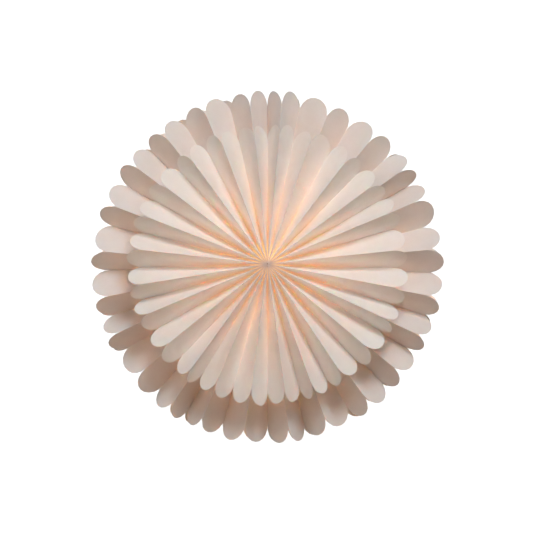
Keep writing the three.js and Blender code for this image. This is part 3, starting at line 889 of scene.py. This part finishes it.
class LANTERN_OT_lamp_holder(LanternStep, bpy.types.Operator):
    """Make the lamp holder and the sprung spider that carries it"""

    bl_idname = "lantern.lamp_holder"
    bl_label = "Lamp holder"

    def spider(self):
        """A ring under the holder's flange with three sprung arms that hook behind the collar."""
        plate = spun(((14.3, -72.7), (19, -72.7), (19, -71.3), (14.3, -71.3)))
        route = ((18.7, -72.6), (22, -73.9), (26, -78.3), (30, -84.4), (33, -85), (35.2, -85))
        arms = []
        for turn in (60, 180, 300):
            points = [at(radius * MM, turn, depth * MM) for radius, depth in route]
            arms.append(wire_along(points, 1.15 * MM))
        return joined([plate, *arms])

    def barrel(self):
        """The holder's sleeve: a thread for the retaining ring, a flange and a ribbed grip."""
        outside = [(13.2, -60), (13.4, -60)]
        for step in range(11):
            depth = -60.6 - step * 1.1
            outside += [(14.0, depth), (13.5, depth - 0.55)]
        outside += [(13.9, -72.9), (17, -73), (17, -76), (15, -78), (14.6, -85), (14.2, -92)]
        return spun([(12.2, -60), *outside, (12.4, -92), (12.2, -74)], bevel=0.12 * MM)

    def cap(self):
        """The cap over the terminals, with grooves for the fingers."""
        outside = [(14.2, -92.3)]
        for step in range(4):
            depth = -93.2 - step
            outside += [(14.2, depth), (13.9, depth - 0.5)]
        outside += [(14.1, -97.4), (12.6, -102), (9.6, -105.6), (8, -106.2), (5.3, -106.2)]
        inside = [(5.3, -104.4), (8.8, -103.4), (11, -100.6), (12.4, -96.6), (12.4, -92.3)]
        return spun(outside + inside, bevel=0.12 * MM)

    def contact(self):
        """The bent strip that the tip of the bulb presses on."""
        bends = ((-4.6, -83.5), (-1.6, -83.5), (1.2, -82.7), (4.2, -83.1))
        rows = len(bends) - 1
        piece = shaped_grid(2, rows, lambda column, row: Vector(
            (bends[row][0] * MM, -bends[row][1] * MM, (column - 1) * 1.6 * MM)))
        thickened(piece, 0.4 * MM, bevel=0.1 * MM, bend=0.6)
        return piece

    def terminal(self, x):
        """A terminal screw with a slotted cheese head."""
        profile = ((0, -95.4), (2.4, -95.4), (2.6, -94.9), (2.6, -93.6), (1.2, -93.6), (1.2, -90.3), (0, -90.3))
        screw = spun(profile, steps=32, bevel=0.1 * MM)
        clear_selection()
        bpy.ops.mesh.primitive_cube_add(size=1, location=(0, 95.4 * MM, 0))
        slot = bpy.context.object
        slot.scale = (0.8 * MM, 1.4 * MM, 7 * MM)
        apply_modifier(screw, "BOOLEAN", operation="DIFFERENCE", object=slot)
        bpy.data.objects.remove(slot)
        screw.data.transform(Matrix.Translation((x * MM, 0, 0)))
        return screw

    def execute(self, context):
        plastic = material_of("holder plastic")
        holder = "lamp_holder"
        finish_piece(self.spider(), "sprung_spider", material_of("nickel"), holder, "holder_spider")
        finish_piece(self.barrel(), "moulded_barrel", plastic, holder, "holder_barrel")
        finish_piece(self.cap(), "moulded_cap", plastic, holder, "holder_cap")
        gland = spun(((3.2, -114), (6.4, -114), (7.2, -113), (7.2, -111.6), (6.7, -111.2), (7.2, -110.8),
                      (7.2, -107.6), (6.6, -106.5), (5, -106.5), (5, -101.5), (3.2, -101.5)))
        finish_piece(gland, "moulded_gland", plastic, holder, "cord_gland")
        insert = spun(((1.6, -90), (11.8, -90), (11.8, -82), (9.4, -82), (9.4, -85.2), (1.6, -85.2)))
        finish_piece(insert, "glazed_insert", material_of("porcelain"), holder, "socket_insert")
        shell = spun(threaded(7.3, 8.2, -84.9, -64, 2.8, 0.6), bevel=0)
        finish_piece(shell, "rolled_shell", material_of("brass"), holder, "screw_shell")
        finish_piece(self.contact(), "bent_contact", material_of("brass"), "centre_contact", "centre_contact")
        for node, x, metal in (("terminal_screw_live", -6.4, "brass"), ("terminal_screw_neutral", 6.4, "nickel")):
            finish_piece(self.terminal(x), f"slotted_{node}", material_of(metal), holder, node)
        ribs = [(14.3, -71), (18.2, -71), (18.6, -69)]
        ribs += [(18.6, -68.4), (18.2, -68), (18.6, -67.6), (18.6, -66.4), (18.2, -66), (18.6, -65.6), (18.6, -65)]
        ring = spun([*ribs, (17.6, -63.5), (14.3, -63.5)], bevel=0.15 * MM)
        finish_piece(ring, "moulded_retaining_ring", plastic, "retaining_ring", "retaining_ring")
        return {"FINISHED"}


class LANTERN_OT_bulb(LanternStep, bpy.types.Operator):
    """Blow the bulb and build its cap and filaments"""

    bl_idname = "lantern.bulb"
    bl_label = "Bulb"

    def glass(self):
        """A ball on a neck, blown thin and open where the cap holds it."""
        radius, middle, wall = 21.5, -19.0, 0.6
        outside = []
        for step in range(25):
            angle = math.radians(90 - step * 5.6)
            outside.append((max(0.0, radius * math.cos(angle)), middle + radius * math.sin(angle)))
        outside[0] = (0.0, middle + radius)
        outside += [(13.6, -40), (11.2, -45.5), (9.6, -51), (8.7, -56), (8.4, -61.7)]
        inside = []
        for (here_r, here_d), (next_r, next_d) in zip(outside, outside[1:]):
            run = math.hypot(next_r - here_r, next_d - here_d)
            inside.append((max(0.0, here_r + (next_d - here_d) / run * wall), here_d - (next_r - here_r) / run * wall))
        inside[0] = (0.0, outside[0][1] - wall)
        inside.append((8.4 - wall, -61.7))
        return spun(outside + inside[::-1], bevel=0, smooth_angle=60)

    def execute(self, context):
        nickel = material_of("nickel")
        glass = material_of("bulb glass")
        cap_outside = threaded(6.4, 7.0, -62, -78, 2.8, 0.5)[:-1]
        cap = spun([*cap_outside, (5, -80.6), (4.6, -80.2), (6.2, -77.8)], bevel=0)
        finish_piece(cap, "rolled_bulb_cap", nickel, "bulb", "bulb_cap")
        insulator = spun(((0, -81.4), (2.6, -81.4), (4.2, -80.4), (4.2, -79), (0, -79)), steps=32)
        finish_piece(insulator, "glass_bulb_insulator", material_of("dark glass"), "bulb", "bulb_insulator")
        tip = spun(((0, -82.45), (0.8, -82.42), (1.5, -82.15), (2, -81.7), (0, -81.7)), steps=32, bevel=0)
        finish_piece(tip, "solder_bulb_tip", material_of("solder"), "bulb", "bulb_tip_contact")
        finish_piece(self.glass(), "blown_bulb", glass, "bulb", "bulb_glass")
        stem = spun(((0, -61), (4.2, -61), (4.1, -58), (2.6, -54.5), (1.9, -50), (1.5, -42), (1.5, -35), (1.1, -34.2),
                     (0, -34)), steps=32, bevel=0, smooth_angle=60)
        finish_piece(stem, "glass_stem", glass, "bulb", "filament_stem")
        for number, turn in enumerate((30, 150, 270), start=1):
            ends = at(3.6 * MM, turn, -38 * MM), at(8.4 * MM, turn + 24, -8 * MM)
            points = [ends[0].lerp(ends[1], share) for share in (0.0, 0.03, 0.5, 0.97, 1.0)]
            filament = wire_along(points, 0.85 * MM)
            node = f"led_filament_{number}"
            finish_piece(filament, f"lit_{node}", material_of("phosphor"), "bulb", node)
        return {"FINISHED"}


# ---- stage


def area_light(name, place, target, size, power, colour):
    """A soft square light that faces a point."""
    data = bpy.data.lights.new(name, "AREA")
    data.shape = "SQUARE"
    data.size = size
    data.energy = power
    data.color = colour
    light = bpy.data.objects.new(name, data)
    light.location = place
    light.rotation_euler = (Vector(target) - Vector(place)).to_track_quat("-Z", "Y").to_euler()
    bpy.context.collection.objects.link(light)
    return light


class LANTERN_OT_stage(LanternStep, bpy.types.Operator):
    """Set the floor, the lights and the camera"""

    bl_idname = "lantern.stage"
    bl_label = "Stage"

    def floor(self, stage):
        """A wide pale floor below the hanging lantern."""
        clear_selection()
        bpy.ops.mesh.primitive_plane_add(size=60, location=(0, 0, -stage.floor_drop))
        floor = bpy.context.object
        floor.name = "floor"
        material, nodes, shader = new_material("pale floor")
        shader.inputs["Base Color"].default_value = (0.42, 0.36, 0.31, 1)
        shader.inputs["Roughness"].default_value = 1.0
        shader.inputs["Emission Color"].default_value = (1, 1, 1, 1)
        seen = nodes.add("ShaderNodeLightPath").outputs["Is Camera Ray"]
        nodes.link(seen, shader.inputs["Emission Strength"])
        floor.data.materials.append(material)

    def camera(self, stage):
        """A long lens almost straight in front."""
        data = bpy.data.cameras.new("camera")
        distance = stage.camera_distance
        data.lens = data.sensor_width * (distance - LARGE_DEPTH * MM) / stage.view_width
        data.clip_end = 100
        camera = bpy.data.objects.new("camera", data)
        rise = stage.camera_rise
        camera.location = (0, -distance * math.cos(rise), distance * math.sin(rise))
        camera.rotation_euler = (math.pi / 2 - rise, 0, 0)
        bpy.context.collection.objects.link(camera)
        bpy.context.scene.camera = camera

    def world(self, stage):
        """Light from all round, and a white background."""
        world = bpy.data.worlds.new("studio")
        bpy.context.scene.world = world
        world.use_nodes = True
        nodes = Nodes(world.node_tree)
        background = world.node_tree.nodes["Background"]
        height = nodes.add("ShaderNodeSeparateXYZ", {0: nodes.add("ShaderNodeTexCoord").outputs["Generated"]})
        seen = nodes.add("ShaderNodeLightPath").outputs["Is Camera Ray"]
        room = nodes.mix(nodes.ramp(height.outputs["Z"], -0.4, 0.4), (0.62, 0.44, 0.33), (0.97, 0.99, 1.0))
        nodes.link(nodes.mix(seen, room, (1, 1, 1)), background.inputs["Color"])
        strength = nodes.ramp(seen, 0.0, 1.0, stage.ambient, 1.2, smooth_ends=False)
        nodes.link(strength, background.inputs["Strength"])

    def execute(self, context):
        stage = context.scene.lantern_stage
        lamp = context.scene.lantern_lamp
        self.floor(stage)
        self.camera(stage)
        self.world(stage)
        area_light("key", (0.6, -2.95, 2.0), (0, 0, 0), 1.0, stage.key_power, (0.97, 0.985, 1.0))
        area_light("fill", (-2.2, -2.4, 0.2), (0, 0, 0), 1.6, stage.fill_power, (1.0, 0.96, 0.92))
        area_light("back", (-0.8, 2.6, 2.2), (0, 0, 0), 1.4, stage.back_power, (1.0, 0.98, 0.96))
        data = bpy.data.lights.new("lamp", "POINT")
        data.energy = lamp.power
        data.color = (1.0, 0.52, 0.22)
        data.shadow_soft_size = 0.012
        light = bpy.data.objects.new("lamp", data)
        light.location = (0, -0.016, 0)
        context.collection.objects.link(light)
        context.scene.view_settings.view_transform = "Standard"
        return {"FINISHED"}


# ---- panel and start


OPERATORS = (
    LANTERN_OT_small_front_ring,
    LANTERN_OT_large_front_ring,
    LANTERN_OT_large_back_ring,
    LANTERN_OT_small_back_ring,
    LANTERN_OT_cage,
    LANTERN_OT_front_hub,
    LANTERN_OT_hanging_eye,
    LANTERN_OT_lamp_holder,
    LANTERN_OT_bulb,
    LANTERN_OT_stage,
)


class LANTERN_PT_sidebar(bpy.types.Panel):
    """The steps that make the lantern"""

    bl_idname = "LANTERN_PT_sidebar"
    bl_label = "Paper lantern"
    bl_space_type = "VIEW_3D"
    bl_region_type = "UI"
    bl_category = "Lantern"

    def draw(self, context):
        column = self.layout.column(align=True)
        for operator in OPERATORS:
            column.operator(operator.bl_idname)
        for settings in (context.scene.lantern_paper, context.scene.lantern_lamp, context.scene.lantern_stage):
            box = self.layout.box()
            for name in settings.__annotations__:
                box.prop(settings, name)


CLASSES = (PaperProperties, LampProperties, StageProperties, *OPERATORS, LANTERN_PT_sidebar)


def register():
    for cls in CLASSES:
        bpy.utils.register_class(cls)
    bpy.types.Scene.lantern_paper = PointerProperty(type=PaperProperties)
    bpy.types.Scene.lantern_lamp = PointerProperty(type=LampProperties)
    bpy.types.Scene.lantern_stage = PointerProperty(type=StageProperties)


def unregister():
    del bpy.types.Scene.lantern_stage
    del bpy.types.Scene.lantern_lamp
    del bpy.types.Scene.lantern_paper
    for cls in reversed(CLASSES):
        bpy.utils.unregister_class(cls)


def main():
    """Runs every step in order."""
    register()
    for operator in OPERATORS:
        group, name = operator.bl_idname.split(".")
        getattr(getattr(bpy.ops, group), name)()
    clear_selection()


if __name__ == "__main__":
    main()
